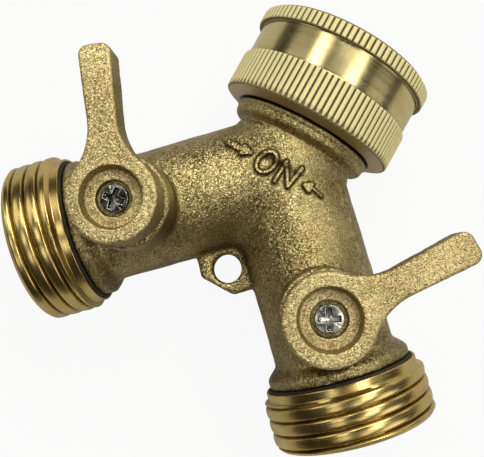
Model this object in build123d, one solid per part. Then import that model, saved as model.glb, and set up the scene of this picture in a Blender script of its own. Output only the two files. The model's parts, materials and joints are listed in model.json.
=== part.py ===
from build123d import *
import math
import os

os.makedirs("parts", exist_ok=True)

# Hose splitter, millimetres. Origin: middle of the inlet mouth, on the inlet thread's axis.
# +Y points out of the inlet, +Z is the side with the levers, and X = 0 is the plane of symmetry.
# Heights in the inlet are measured from the junction of the three axes, heights in a valve from
# the plane of those axes, and places along an outlet from the junction.

# ---- layout ----
mouth_to_junction = 22.8        # inlet mouth to the point where the three axes meet
arm_angle = 45.0                # each outlet axis leaves the inlet line by this angle
valve_at = 24.2                 # valve centre, along the outlet axis
valve_to_end = 10.3             # valve centre to the end face of the cast arm
thread_past_arm = 9.5           # that end face to the open end of the outlet thread
lever_turned = {"left": 8.5, "right": 11.8}     # degrees that each lever has left its closed stop
lever_travel = 90.0

# ---- clearances ----
running = 0.05                  # radial, for parts that turn in each other
seated = 0.02                   # radial, for parts pressed or screwed home
face_gap = 0.05                 # between faces of parts that turn past each other
lever_gap = 0.25                # lever's hub above the boss
nut_gap = 0.2                   # nut's lower face above the inlet collar
nut_play = 0.2                  # how far the nut can lift before its ring stops it

# ---- hose thread, 3/4 inch, 11.5 turns to the inch ----
pitch = 25.4 / 11.5
male_crest_r = 13.49
thread_depth = 0.95
groove_half = 0.55              # half the male groove's width at the crest
groove_root_half = 0.16
root_room = 0.16                # female root beyond male crest
crest_room = 0.16               # female crest beyond male root
thread_play = 0.05              # between flanks
male_root_r = male_crest_r - thread_depth
female_root_r = male_crest_r + root_room
female_crest_r = male_root_r + crest_room

# ---- valve, ball and seats ----
ball_r = 7.0
ball_bore_r = 4.4
cavity_r = ball_r + 0.6
slot_width = 3.0
slot_floor = ball_r - 2.1
flange_r = 4.4
seat_near = flange_r + 0.1      # seat ring, from the valve centre
seat_far = ball_r - 0.4
seat_bore_r = ball_bore_r + 0.1

# ---- valve, stem ----
tang_width = slot_width - 0.1
tang_length = 7.0
flange_thickness = 1.4
flange_bottom = ball_r + 0.2
flange_top = flange_bottom + flange_thickness
thrust_thickness = 0.6
stem_r = 3.4
stem_ring_section = 0.6
stem_groove_r = stem_r - 2 * stem_ring_section
stem_groove_width = 2 * stem_ring_section + 0.3
stem_grooves = (flange_top + 1.6, flange_top + 4.4)
square = 4.2

# ---- cast body ----
pipe_wall = 2.35
pipe_r = cavity_r + pipe_wall   # all three branches
spigot_r = cavity_r + 1.2
arm_collar_r = spigot_r + 3.0
arm_collar_length = 1.5
arm_flare_length = 2.0
arm_bore_r = 5.0
boss_r = 7.05
boss_top = flange_top + 8.0
branch_fillet = 2.6
boss_fillet = 0.9
inlet_bore_r = 7.6
neck_r = inlet_bore_r + 3.0
inlet_collar_r = neck_r + 1.7
inlet_collar_top = 7.55
inlet_collar_length = 0.75
inlet_flare_length = 2.1
collar_rounding = 0.25
arm_end = valve_at + valve_to_end
spigot_start = valve_at + seat_far + face_gap

# ---- hanging lug ----
lug_half_thickness = 1.8
lug_hole_at = 18.75             # from the junction, away from the inlet
lug_hole_r = 2.42
lug_rim = 0.93                  # beyond the hole
lug_cheek = 3.28                # beside the hole
lug_root_half = 6.6
lug_root = 5.75                 # from the hole back to the hidden end between the arms
lug_tip_half = 3.1
lug_rounding = 0.9

# ---- nut and what holds it ----
nut_floor_thickness = 2.3
ring_thickness = 1.1
ring_split = 14.0               # degrees
washer_thickness = 2.5
neck_lip = 1.2
neck_groove_depth = 1.0
nut_bottom = inlet_collar_top + nut_gap
nut_floor = nut_bottom + nut_floor_thickness
ring_low = nut_floor + nut_play
neck_top = ring_low + ring_thickness + face_gap + neck_lip
washer_low = neck_top + face_gap
chamber_r = female_crest_r + 0.2
chamber_top = washer_low + washer_thickness + 0.15
ring_outer_r = (neck_r + chamber_r) / 2
washer_bore_r = inlet_bore_r + 0.4
nut_wall = 1.0                  # over the thread's root
nut_waist_r = female_root_r + nut_wall
nut_low_r = nut_waist_r + 0.55
nut_high_r = nut_waist_r + 0.85
low_knurl_from = 1.25           # above the nut's lower face
low_knurl_width = 5.6
high_knurl_width = 2.7
nut_shoulder = (1.1, 0.45)      # inset and height of the plain bevel under the low knurl
mouth_bevel = 0.5
knurl_teeth = 96
knurl_depth = 0.38
knurl_notch = 0.4               # width of a notch as a share of one tooth

# ---- nipple ----
nipple_bore_r = 5.6
nipple_mouth_r = male_root_r - 3.0
nipple_cone = (-0.3, 1.1)       # cone between bore and mouth, from the arm's end face
tool_socket = 12.4              # hexagon across flats, for screwing the nipple home
tool_socket_floor = 1.2
joint_gap = 0.45                # room for the rubber ring between arm and flange
nipple_step_r = spigot_r + 1.6
nipple_flange_thickness = 1.4
nipple_flange_r = male_crest_r - 0.89
joint_ring_outer_r = nipple_flange_r - 0.45
nipple_flange = (arm_end + joint_gap, arm_end + joint_gap + nipple_flange_thickness)
nipple_end = arm_end + thread_past_arm
thread_turn = {"left": 65.0, "right": -65.0}      # where each nipple came to rest when screwed home

# ---- screw ----
head_r = 2.07
head_height = 1.15
shank_r = 1.2
shank_length = 4.9
cross_width = 0.95
cross_reach = head_r - 0.37
cross_depth = 0.7
cross_turn = {"left": 10.0, "right": 31.0}
tapped_r = shank_r + 0.05

# ---- lever ----
hub_height = 6.15
hub_r = 6.55
hub_draft = 0.15
blade_lift = 1.15               # underside of the blade above the hub's
lever_length = 21.9
blade_half = (2.15, 2.4)        # at the waist and at the tip
blade_root_fillet = 8.9
tip_fillet = 1.5
rim_fillet = 0.5
dish_floor_r = 4.1
dish_top_r = dish_floor_r + 0.4
dish_depth = 1.8
head_pocket_r = head_r + 0.55
head_pocket_depth = 1.1
web_thickness = 1.0
stop_outer = hub_r - 0.65       # ring in which the lever's stop lug travels
stop_width = 1.2
stop_depth = 1.1                # how far the lug hangs below the hub
stop_room = 0.45                # under the lug
stop_side_room = 0.1
stop_sweep = 22.0               # degrees
stop_from = 20.0                # degrees from the arm's outward axis to the lug, valve shut
stop_spare = 1.5                # degrees left over at each end of the travel
stem_shoulder = boss_top + lever_gap
lever_top = stem_shoulder + hub_height
pocket_floor = lever_top - dish_depth - head_pocket_depth
socket_top = pocket_floor - web_thickness
stem_top = socket_top - 0.1
tapped_floor = pocket_floor - shank_length - 0.3
blade_bottom = stem_shoulder + blade_lift

junction = Vector(0, -mouth_to_junction, 0)
lean = math.radians(arm_angle)
sign = {"left": -1, "right": 1}     # levers turn clockwise on the left, anticlockwise on the right
out = {side: Vector(sign[side] * math.sin(lean), -math.cos(lean), 0) for side in sign}
inlet_plane = Plane(origin=junction, x_dir=(1, 0, 0), z_dir=(0, 1, 0))


def arm_plane(side):
    """Outlet arm: local Z runs outward along the arm, local X points up."""
    return Plane(origin=junction, x_dir=(0, 0, 1), z_dir=out[side])


def valve_plane(side):
    """Valve: origin at its centre, local Z up, local X outward along the arm."""
    return Plane(origin=junction + out[side] * valve_at, x_dir=out[side], z_dir=(0, 0, 1))


def turned(points):
    """Solid of revolution about local Z from (radius, height) points."""
    face = make_face(Plane.XZ * Polyline(*points, close=True))
    return revolve(face, Axis.Z)


def rod(radius, low, high):
    """Upright cylinder between two heights."""
    return Pos(0, 0, low) * Cylinder(radius, high - low, align=(Align.CENTER, Align.CENTER, Align.MIN))


def block(x, y, low, high):
    """Upright box between two heights, centred on local Z."""
    return Pos(0, 0, low) * Box(x, y, high - low, align=(Align.CENTER, Align.CENTER, Align.MIN))


def ring(inner, outer, low, high):
    """Plain ring between two heights."""
    return turned([(inner, low), (outer, low), (outer, high), (inner, high)])


def sector(inner, outer, low, high, start, sweep):
    """Part of a ring, from angle start (degrees) through sweep."""
    face = make_face(Plane.XZ * Polyline((inner, low), (outer, low), (outer, high), (inner, high), close=True))
    return Rot(0, 0, start) * revolve(face, Axis.Z, sweep)


def male_half(r):
    """Half the width of the male thread's groove at radius r."""
    return groove_root_half + (groove_half - groove_root_half) * (r - male_root_r) / thread_depth


def female_half(r):
    """Half the width of the female thread's groove at radius r, so that the two screw together."""
    return pitch / 2 - male_half(r) + thread_play


def cut_thread(blank, crest_r, root_r, half_at, low, high):
    """Blank with a helical groove, cut turn by turn from low to just past high."""
    outside = crest_r + math.copysign(0.35, crest_r - root_r)
    path = Helix(pitch, pitch, crest_r)
    at = Plane(origin=path @ 0, x_dir=(1, 0, 0), z_dir=path % 0)
    corners = [(r - crest_r, side * half_at(r)) for r, side in
               ((outside, -1), (outside, 1), (root_r, 1), (root_r, -1))]
    turn = sweep(make_face(at * Polyline(*corners, close=True)), path=path, is_frenet=True)
    for k in range(math.ceil((high - low) / pitch)):
        blank -= Pos(0, 0, low + k * pitch) * turn
    return blank


def collar(radius, flare_length, length, end):
    """Thickened end of a branch: hollow flare up to a short collar with a rounded rim."""
    full = end - length
    start = full - flare_length
    face = make_face(Polyline((0, start), (pipe_r - 0.3, start), (pipe_r + 0.05, start + 0.35),
                              (radius, full), (radius, end), (0, end), close=True))
    rounding = min(collar_rounding, 0.45 * length)
    face = fillet([v for v in face.vertices() if abs(v.X - radius) < 0.01], rounding)
    return revolve(Plane.XZ * face, Axis.Z)


def rest_turn(side):
    """Turn of ball, stem and lever from dead shut, degrees anticlockwise seen from above."""
    return sign[side] * lever_turned[side]


def sided(side, start, sweep_angle):
    """Start of an angular span, mirrored for the left valve."""
    return start if side == "right" else -start - sweep_angle


def make_body():
    """Cast Y body with its valve bosses, hanging lug and all machined holes."""
    body = inlet_plane.location * rod(pipe_r, 0, inlet_collar_top - 0.6)
    for side in out:
        body += arm_plane(side).location * rod(pipe_r, 0, arm_end - 0.6)
    joints = [e for e in body.edges() if e.geom_type == GeomType.ELLIPSE and abs(e.center().Z) > 3]
    body = fillet(joints, branch_fillet)
    for side in out:
        body += valve_plane(side).location * rod(boss_r, 0, boss_top)
    for side in out:
        middle = valve_plane(side).origin
        base = [e for e in body.edges() if e.geom_type == GeomType.BSPLINE and 3 < e.center().Z < pipe_r + 1
                and all(abs(math.hypot((e @ u).X - middle.X, (e @ u).Y - middle.Y) - boss_r) < 0.1
                        for u in (0, 0.3, 0.7, 1))]
        body = fillet(base, boss_fillet)
    for side in out:
        body += arm_plane(side).location * collar(arm_collar_r, arm_flare_length,
                                                    arm_collar_length, arm_end)
    body += inlet_plane.location * collar(inlet_collar_r, inlet_flare_length,
                                              inlet_collar_length, inlet_collar_top)
    lug = [(lug_root_half, lug_root), (lug_hole_r + lug_cheek, -0.45), (lug_tip_half, -lug_hole_r - lug_rim)]
    lug = lug + [(-x, y) for x, y in reversed(lug)]
    plate = make_face(Pos(0, -mouth_to_junction - lug_hole_at, 0) * Polyline(*lug, close=True))
    body += extrude(fillet(plate.vertices(), lug_rounding), lug_half_thickness, both=True)
    groove_r = neck_r - neck_groove_depth
    groove = (ring_low - face_gap, ring_low + ring_thickness + face_gap)
    neck = turned([(0, 0), (neck_r, 0), (neck_r, groove[0]), (groove_r, groove[0]), (groove_r, groove[1]),
                   (neck_r, groove[1]), (neck_r, neck_top - 0.2), (neck_r - 0.2, neck_top), (0, neck_top)])
    body += inlet_plane.location * neck
    body -= inlet_plane.location * rod(inlet_bore_r, 0, neck_top + 1)
    body -= Pos(junction) * Sphere(inlet_bore_r)
    for side in out:
        arm_holes = rod(arm_bore_r, 0, valve_at) + rod(cavity_r, valve_at - seat_far, arm_end)
        arm_holes += rod(spigot_r + seated, valve_at + seat_far, arm_end + 1)
        body -= arm_plane(side).location * arm_holes
        stem_holes = rod(flange_r + running, 0, flange_top + thrust_thickness + face_gap)
        stem_holes += rod(stem_r + running, 0, boss_top + 1)
        span = lever_travel + stop_sweep + 2 * stop_spare
        floor = stem_shoulder - stop_depth - stop_room
        slot = sector(stop_outer - stop_width - stop_side_room, stop_outer + stop_side_room, floor, boss_top + 1,
                      sided(side, stop_from - stop_spare, span), span)
        body -= valve_plane(side).location * (stem_holes + slot)
    body -= Pos(0, -mouth_to_junction - lug_hole_at, 0) * rod(lug_hole_r, -5, 5)
    return body


def knurl_notches(radius, low, high):
    """V notches of a straight knurl all round, as solids to cut away."""
    over = 0.4
    half_width = math.pi * radius * knurl_notch / knurl_teeth * (knurl_depth + over) / knurl_depth
    face = make_face(Polyline((radius - knurl_depth, 0), (radius + over, half_width),
                              (radius + over, -half_width), close=True))
    notch = Pos(0, 0, low) * extrude(face, high - low)
    return [Rot(0, 0, 360 * k / knurl_teeth) * notch for k in range(knurl_teeth)]


def make_nut():
    """Swivel nut: knurled at both ends, smooth waist, hose thread inside."""
    low = nut_bottom + low_knurl_from
    low_top = low + low_knurl_width
    mouth = mouth_to_junction
    high = mouth - high_knurl_width
    inset, height = nut_shoulder
    hole = neck_r + running
    shell = turned([(hole, nut_bottom), (inlet_collar_r + 0.1, nut_bottom), (nut_low_r - inset, nut_bottom + height),
                    (nut_low_r - knurl_depth, low), (nut_low_r, low + 0.45), (nut_low_r, low_top - 0.2),
                    (nut_low_r - 0.2, low_top), (nut_waist_r, low_top), (nut_waist_r, high),
                    (nut_high_r - 0.2, high), (nut_high_r, high + 0.2), (nut_high_r, mouth - 0.6),
                    (nut_high_r - 0.8, mouth), (female_crest_r + mouth_bevel, mouth),
                    (female_crest_r, mouth - mouth_bevel), (female_crest_r, chamber_top),
                    (chamber_r, chamber_top), (chamber_r, nut_floor), (hole, nut_floor)])
    nut = cut_thread(shell, female_crest_r, female_root_r, female_half, chamber_top + 0.7, mouth + 1.2)
    nut -= knurl_notches(nut_low_r, low - 0.3, low_top + 0.3) + knurl_notches(nut_high_r, high - 0.3, mouth + 0.3)
    return inlet_plane.location * nut


def make_retaining_ring():
    """Split ring that sits in the neck's groove and keeps the nut on."""
    band = sector(neck_r - neck_groove_depth + seated, ring_outer_r, ring_low, ring_low + ring_thickness,
                  90 + ring_split / 2, 360 - ring_split)
    return inlet_plane.location * band


def soft_ring(inner, outer, low, high):
    """Rubber ring with its outer corners worn off."""
    soft = min(0.35, (outer - inner) / 3, (high - low) / 3)
    return turned([(inner, low), (outer - soft, low), (outer, low + soft), (outer, high - soft),
                   (outer - soft, high), (inner, high)])


def make_hose_washer():
    """Flat rubber washer held in the nut behind its thread."""
    return inlet_plane.location * soft_ring(washer_bore_r, chamber_r - seated, washer_low,
                                            washer_low + washer_thickness)


def make_nipple(side):
    """Outlet nipple: hose thread outside, screwed into the arm, holds the valve seats in."""
    first, last = nipple_flange
    shell = turned([(nipple_bore_r, spigot_start), (spigot_r, spigot_start), (spigot_r, arm_end),
                    (nipple_step_r, arm_end), (nipple_step_r, first), (nipple_flange_r - 0.15, first),
                    (nipple_flange_r, first + 0.15), (nipple_flange_r, last), (male_crest_r, last + 0.5),
                    (male_crest_r, nipple_end - 0.7), (male_root_r + 0.35, nipple_end),
                    (nipple_mouth_r + 0.4, nipple_end), (nipple_mouth_r, nipple_end - 0.4),
                    (nipple_mouth_r, arm_end + nipple_cone[1]), (nipple_bore_r, arm_end + nipple_cone[0])])
    socket = extrude(RegularPolygon(tool_socket / 2, 6, major_radius=False), nipple_end)
    shell -= Pos(0, 0, spigot_start + tool_socket_floor) * socket
    shell = cut_thread(shell, male_crest_r, male_root_r, male_half, last - 0.4, nipple_end + 1)
    return arm_plane(side).location * Rot(0, 0, thread_turn[side]) * shell


def make_joint_ring(side):
    """Rubber ring squeezed flat between the arm's end face and the nipple's flange."""
    band = soft_ring(nipple_step_r + 0.1, joint_ring_outer_r, arm_end + 0.01, nipple_flange[0] - 0.01)
    return arm_plane(side).location * band


def make_seat(side, inward):
    """Plastic seat ring whose hollow face bears on the ball."""
    seat = ring(seat_bore_r, cavity_r - seated, seat_near, seat_far) - Sphere(ball_r + running)
    if inward:
        seat = Rot(0, 180, 0) * seat
    return arm_plane(side).location * Pos(0, 0, valve_at) * seat


def make_ball(side):
    """Bored ball, shut crosswise to the arm; its slot takes the stem's tang."""
    ball = Sphere(ball_r) - Rot(90, 0, 0) * Cylinder(ball_bore_r, 3 * ball_r)
    ball -= block(3 * ball_r, slot_width, slot_floor, ball_r + 1)
    return valve_plane(side).location * Rot(0, 0, rest_turn(side)) * ball


def make_stem(side):
    """Valve stem: tang, flange, two ring grooves, square for the lever, tapped from the top."""
    stem = rod(flange_r, flange_bottom, flange_top) + rod(stem_r, flange_bottom, stem_shoulder)
    tang = block(tang_length, tang_width, slot_floor + 0.1, flange_bottom) & rod(flange_r - 0.2, 0, flange_top)
    stem += tang
    stem += block(square, square, stem_shoulder, stem_top)
    for low in stem_grooves:
        stem -= ring(stem_groove_r, stem_r + 1, low, low + stem_groove_width)
    stem -= rod(tapped_r, tapped_floor, stem_top + 1)
    return valve_plane(side).location * Rot(0, 0, rest_turn(side)) * stem


def make_stem_rings(side):
    """The two rubber rings in the stem's grooves, as two solids."""
    middle = stem_r + 0.02 - stem_ring_section
    rings = [valve_plane(side).location * Pos(0, 0, low + stem_groove_width / 2)
             * Torus(middle, stem_ring_section) for low in stem_grooves]
    return Compound(children=rings)


def make_thrust_washer(side):
    """Plastic washer between the stem's flange and the roof of its pocket."""
    return valve_plane(side).location * ring(stem_r + running, flange_r, flange_top, flange_top + thrust_thickness)


def make_lever(side):
    """Cast lever: hub with a dish for the screw, flat blade, square socket and a stop lug."""
    waist, tip = blade_half
    length = lever_length
    hollow = blade_root_fillet
    straight = math.sqrt((hub_r + hollow) ** 2 - (waist + hollow) ** 2) + 0.2    # just past the root fillets
    blade = make_face(Polyline((-waist, 0), (-waist, straight), (-tip, length), (tip, length),
                               (waist, straight), (waist, 0), close=True))
    ends = [v for v in blade.vertices() if v.Y > length - 0.1]
    outline = Sketch() + fillet(ends, tip_fillet) + Circle(hub_r)
    root = math.sqrt(hub_r ** 2 - waist ** 2)
    roots = [v for v in outline.vertices() if abs(abs(v.X) - waist) < 0.05 and abs(v.Y - root) < 0.05]
    outline = fillet(roots, hollow)
    lever = Pos(0, 0, lever_top) * extrude(outline, blade_bottom - lever_top)
    rim = [e for e in lever.edges() if abs(e.center().Z - lever_top) < 0.01]
    lever = fillet(rim, rim_fillet)
    lever += rod(hub_r - hub_draft, stem_shoulder, lever_top - 1)
    dish = turned([(0, lever_top - dish_depth), (dish_floor_r, lever_top - dish_depth),
                   (dish_top_r, lever_top), (dish_top_r, lever_top + 1), (0, lever_top + 1)])
    lever -= dish + rod(head_pocket_r, pocket_floor, lever_top)
    lever -= rod(shank_r + 0.15, stem_shoulder, lever_top)
    # square across the arm when shut, pointing inward along the arm when open
    lever = Rot(0, 0, sign[side] * (90 + lever_turned[side]) - 90) * lever
    lever -= Rot(0, 0, rest_turn(side)) * block(square + 0.1, square + 0.1, stem_shoulder - 1, socket_top)
    lever += sector(stop_outer - stop_width, stop_outer, stem_shoulder - stop_depth, stem_shoulder + 0.2,
                    sided(side, stop_from + lever_turned[side], stop_sweep), stop_sweep)
    return valve_plane(side).location * lever


def make_screw(side):
    """Pan-head screw with a cross recess."""
    seat = pocket_floor
    screw = turned([(0, seat - shank_length), (shank_r - 0.4, seat - shank_length),
                    (shank_r, seat - shank_length + 0.4), (shank_r, seat), (head_r, seat),
                    (head_r, seat + 0.45 * head_height), (0.86 * head_r, seat + 0.8 * head_height),
                    (0.6 * head_r, seat + head_height), (0, seat + head_height)])
    top = seat + head_height
    cut = block(2 * cross_reach, cross_width, top - cross_depth, top + 1)
    screw -= Rot(0, 0, cross_turn[side]) * (cut + Rot(0, 0, 90) * cut)
    return Pos(valve_plane(side).origin) * screw


SIDED = {
    "outlet_nipple": make_nipple,
    "joint_ring": make_joint_ring,
    "inner_seat": lambda side: make_seat(side, True),
    "outer_seat": lambda side: make_seat(side, False),
    "ball": make_ball,
    "stem": make_stem,
    "stem_rings": make_stem_rings,
    "thrust_washer": make_thrust_washer,
    "lever": make_lever,
    "lever_screw": make_screw,
}

export_step(make_body(), "parts/splitter_body.step")
export_step(make_nut(), "parts/swivel_nut.step")
export_step(make_retaining_ring(), "parts/nut_retaining_ring.step")
export_step(make_hose_washer(), "parts/hose_washer.step")
for side in out:
    for name, make in SIDED.items():
        export_step(make(side), f"parts/{side}_{name}.step")
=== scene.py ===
# %% [markdown]
# # A brass hose splitter, dressed for its portrait
#
# The part is a garden-hose splitter: a cast brass Y with a knurled swivel nut on its inlet, two
# quarter-turn valves with cast levers, and two threaded outlets. Its CAD model gives every size and
# place. This script keeps those sizes and gives each visible piece the surface that the real one
# has: sand-cast skin, turned and brushed brass, polished threads, plated screws and black rubber.

import json
import math

import bpy
import numpy as np
from mathutils import Matrix, Vector
from mathutils.bvhtree import BVHTree


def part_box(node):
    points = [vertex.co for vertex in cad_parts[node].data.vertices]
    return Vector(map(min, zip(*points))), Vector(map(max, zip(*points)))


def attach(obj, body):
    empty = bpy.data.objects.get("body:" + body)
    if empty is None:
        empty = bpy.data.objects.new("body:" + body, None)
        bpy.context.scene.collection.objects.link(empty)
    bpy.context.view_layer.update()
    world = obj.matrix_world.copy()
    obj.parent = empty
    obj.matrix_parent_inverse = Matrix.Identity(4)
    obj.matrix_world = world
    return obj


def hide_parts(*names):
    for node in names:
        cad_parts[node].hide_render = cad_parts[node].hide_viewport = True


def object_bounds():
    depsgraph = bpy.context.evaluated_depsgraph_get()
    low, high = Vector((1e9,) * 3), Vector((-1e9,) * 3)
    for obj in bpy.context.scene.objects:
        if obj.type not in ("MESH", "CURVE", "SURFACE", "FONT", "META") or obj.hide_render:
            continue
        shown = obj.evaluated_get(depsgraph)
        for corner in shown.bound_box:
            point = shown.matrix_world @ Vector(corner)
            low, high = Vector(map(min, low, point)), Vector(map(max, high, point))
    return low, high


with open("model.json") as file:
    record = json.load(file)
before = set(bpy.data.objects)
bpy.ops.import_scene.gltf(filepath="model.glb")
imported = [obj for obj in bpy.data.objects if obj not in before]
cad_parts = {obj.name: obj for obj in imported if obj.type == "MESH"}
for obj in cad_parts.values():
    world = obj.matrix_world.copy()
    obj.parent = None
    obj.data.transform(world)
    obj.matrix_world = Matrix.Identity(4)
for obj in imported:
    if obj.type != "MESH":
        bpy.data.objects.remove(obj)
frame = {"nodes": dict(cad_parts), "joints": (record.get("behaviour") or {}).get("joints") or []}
cad_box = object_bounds()
mm = 0.001
print("CAD box, mm:", [[round(v / mm, 2) for v in corner] for corner in cad_box])

# %% [markdown]
# ## Where things are
#
# All three branches of the Y start at one point, the junction. The inlet goes along +Y and each
# outlet leaves at 45 degrees. The turned pieces are easiest to draw round their own axis, so each
# gets a small local frame: its Z is the axis, and heights are counted from the junction. Sizes are
# written in millimetres and turned into metres where a mesh or a material needs them.

# %% Local frames of the three branches
junction_depth = 22.8                         # below the nut's mouth, the frame's origin
junction = Vector((0, -junction_depth, 0)) * mm
lean = math.radians(45)
valve_distance = 24.2
SIDES = {"left": -1, "right": 1}


def local_frame(origin, x_axis, z_axis):
    """Matrix that takes local points to the frame, with local Z along z_axis."""
    x_axis, z_axis = Vector(x_axis), Vector(z_axis)
    turn = Matrix((x_axis, z_axis.cross(x_axis), z_axis)).transposed()
    return Matrix.Translation(origin) @ turn.to_4x4()


inlet_frame = local_frame(junction, (1, 0, 0), (0, 1, 0))
out = {side: Vector((sign * math.sin(lean), -math.cos(lean), 0)) for side, sign in SIDES.items()}
arm_frame = {side: local_frame(junction, (0, 0, 1), out[side]) for side in SIDES}
valve_at = {side: junction + out[side] * valve_distance * mm for side in SIDES}
for joint in frame["joints"]:
    print(joint["name"], "turns about", joint["axis"])

# %% [markdown]
# ## The camera
#
# The photograph was taken with a phone held close above the part, so perspective is strong: the
# lever tips look larger than the body below them. The camera has the same place and lens. The close
# clip distance matters, because everything here is within a few centimetres.

# %% Camera
camera = bpy.data.objects.new("camera", bpy.data.cameras.new("camera"))
bpy.context.collection.objects.link(camera)
camera_place = Vector((8.985, -36.986, 110.217)) * mm
camera_axes = Matrix(((0.87144, 0.48559, -0.06931),   # to the right of the picture
                      (-0.48176, 0.87388, 0.06516),   # up the picture
                      (0.09221, -0.02339, 0.99547)))  # towards the eye
camera.matrix_world = Matrix.Translation(camera_place) @ camera_axes.transposed().to_4x4()
camera.data.sensor_width, camera.data.lens = 36, 48.33         # both in millimetres
camera.data.clip_start, camera.data.clip_end = 5 * mm, 20      # both in metres
bpy.context.scene.camera = camera
print("camera is", round(camera.location.z / mm), "mm above the part's middle plane")

# %% [markdown]
# ## Helpers for materials
#
# A Blender material is a small graph. Writing each node as one call, with its inputs as numbers or
# as the outputs of other nodes, keeps a recipe short enough to read as a sentence. All noise uses
# coordinates fixed to the piece, so that a finish turns with its lever or its nut.

# %% Node helpers
BLACK = (0.0, 0.0, 0.0)


def node(tree, kind, inputs=None, **settings):
    """Adds one shader node. Inputs that are sockets get linked, others are set as values."""
    made = tree.nodes.new("ShaderNode" + kind)
    for key, value in settings.items():
        setattr(made, key, value)
    for key, value in (inputs or {}).items():
        if isinstance(value, bpy.types.NodeSocket):
            tree.links.new(value, made.inputs[key])
        else:
            made.inputs[key].default_value = value
    return made


def new_material(name, **shader):
    """A material with its main shader, whose plain values are given by socket name."""
    material = bpy.data.materials.new(name)
    material.use_nodes = True
    main = material.node_tree.nodes["Principled BSDF"]
    for key, value in shader.items():
        main.inputs[key.replace("_", " ")].default_value = value
    return material, material.node_tree, main


def dress(tree, main, colour, roughness, normal):
    """Links what a recipe has worked out to its main shader."""
    for key, value in (("Base Color", colour), ("Roughness", roughness), ("Normal", normal)):
        tree.links.new(value, main.inputs[key])


def own_coordinates(tree):
    """Coordinates fixed to the piece itself."""
    return node(tree, "TexCoord").outputs["Object"]


def noise(tree, where, size, detail=3.0, roughness=0.55):
    """Cloudy noise whose blobs are about `size` millimetres across."""
    return node(tree, "TexNoise", {"Vector": where, "Scale": 1 / (size * mm), "Detail": detail,
                                   "Roughness": roughness}).outputs["Fac"]


def spread(tree, value, low, high, to_low=0.0, to_high=1.0):
    """Stretches the part of a value between low and high over a new range."""
    return node(tree, "MapRange", {"Value": value, "From Min": low, "From Max": high,
                                   "To Min": to_low, "To Max": to_high}).outputs["Result"]


def math_of(tree, operation, a, b=0.0):
    """Sum, product or another simple function of two values."""
    return node(tree, "Math", {0: a, 1: b}, operation=operation).outputs[0]


def vector_of(tree, operation, inputs):
    """A vector worked out from the numbered or named inputs of one vector node."""
    return node(tree, "VectorMath", inputs, operation=operation).outputs[0]


def blend_colour(tree, factor, a, b):
    """Mixes two colours, each a socket or a plain (red, green, blue)."""
    a, b = (c if isinstance(c, bpy.types.NodeSocket) else (*c, 1.0) for c in (a, b))
    # for colours, this node takes its inputs 0, 6 and 7 and gives its output 2
    return node(tree, "Mix", {0: factor, 6: a, 7: b}, data_type="RGBA").outputs[2]


def bump(tree, height, depth, under=None):
    """Relief `depth` millimetres high, on top of another relief if one is given."""
    inputs = {"Height": height, "Distance": depth * mm, "Strength": 1.0}
    if under is not None:
        inputs["Normal"] = under
    return node(tree, "Bump", inputs).outputs["Normal"]


def shaded(tree, colour, reach, low, high, hollow):
    """Paints shade into a colour in hollows. `reach` is how far, in millimetres, a hollow is felt.

    A point with less open sky than `low` loses the share `hollow`, and one with more than `high`
    loses nothing.
    """
    open_sky = node(tree, "AmbientOcclusion", {"Distance": reach * mm}, samples=4).outputs["AO"]
    shade = spread(tree, open_sky, low, high, 1 - hollow, 1.0)
    return blend_colour(tree, shade, BLACK, colour)


print("material helpers:", [tool.__name__ for tool in (noise, spread, blend_colour, bump, shaded)])

# %% [markdown]
# ## Sand-cast brass
#
# The Y and the levers are poured into sand moulds and then tumbled. The skin keeps the print of the
# sand: grains about a sixth of a millimetre wide that glitter, on top of slow lumps. Hollows and
# upright walls get painted shade, and edges are rubbed lighter. Noise alone looks like clouds, so
# each grain is a cell with one random colour, which gives both its tone and the way it leans. One
# recipe makes the dark skin of the body and the paler, matt one of the levers.

# %% Cast brass
RUBBED_EDGE = (0.95, 0.80, 0.42)
LETTER_FLANK_SHADE = (0.10, 0.07, 0.025)


def grain_normal(tree, cells, relief, tilt):
    """Leans each grain's surface by `tilt` in a direction that comes from its random colour."""
    centred = vector_of(tree, "SUBTRACT", {0: cells, 1: (0.5, 0.5, 0.5)})
    lean_by = vector_of(tree, "SCALE", {0: centred, "Scale": tilt})
    return vector_of(tree, "NORMALIZE", {0: vector_of(tree, "ADD", {0: relief, 1: lean_by})})


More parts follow.
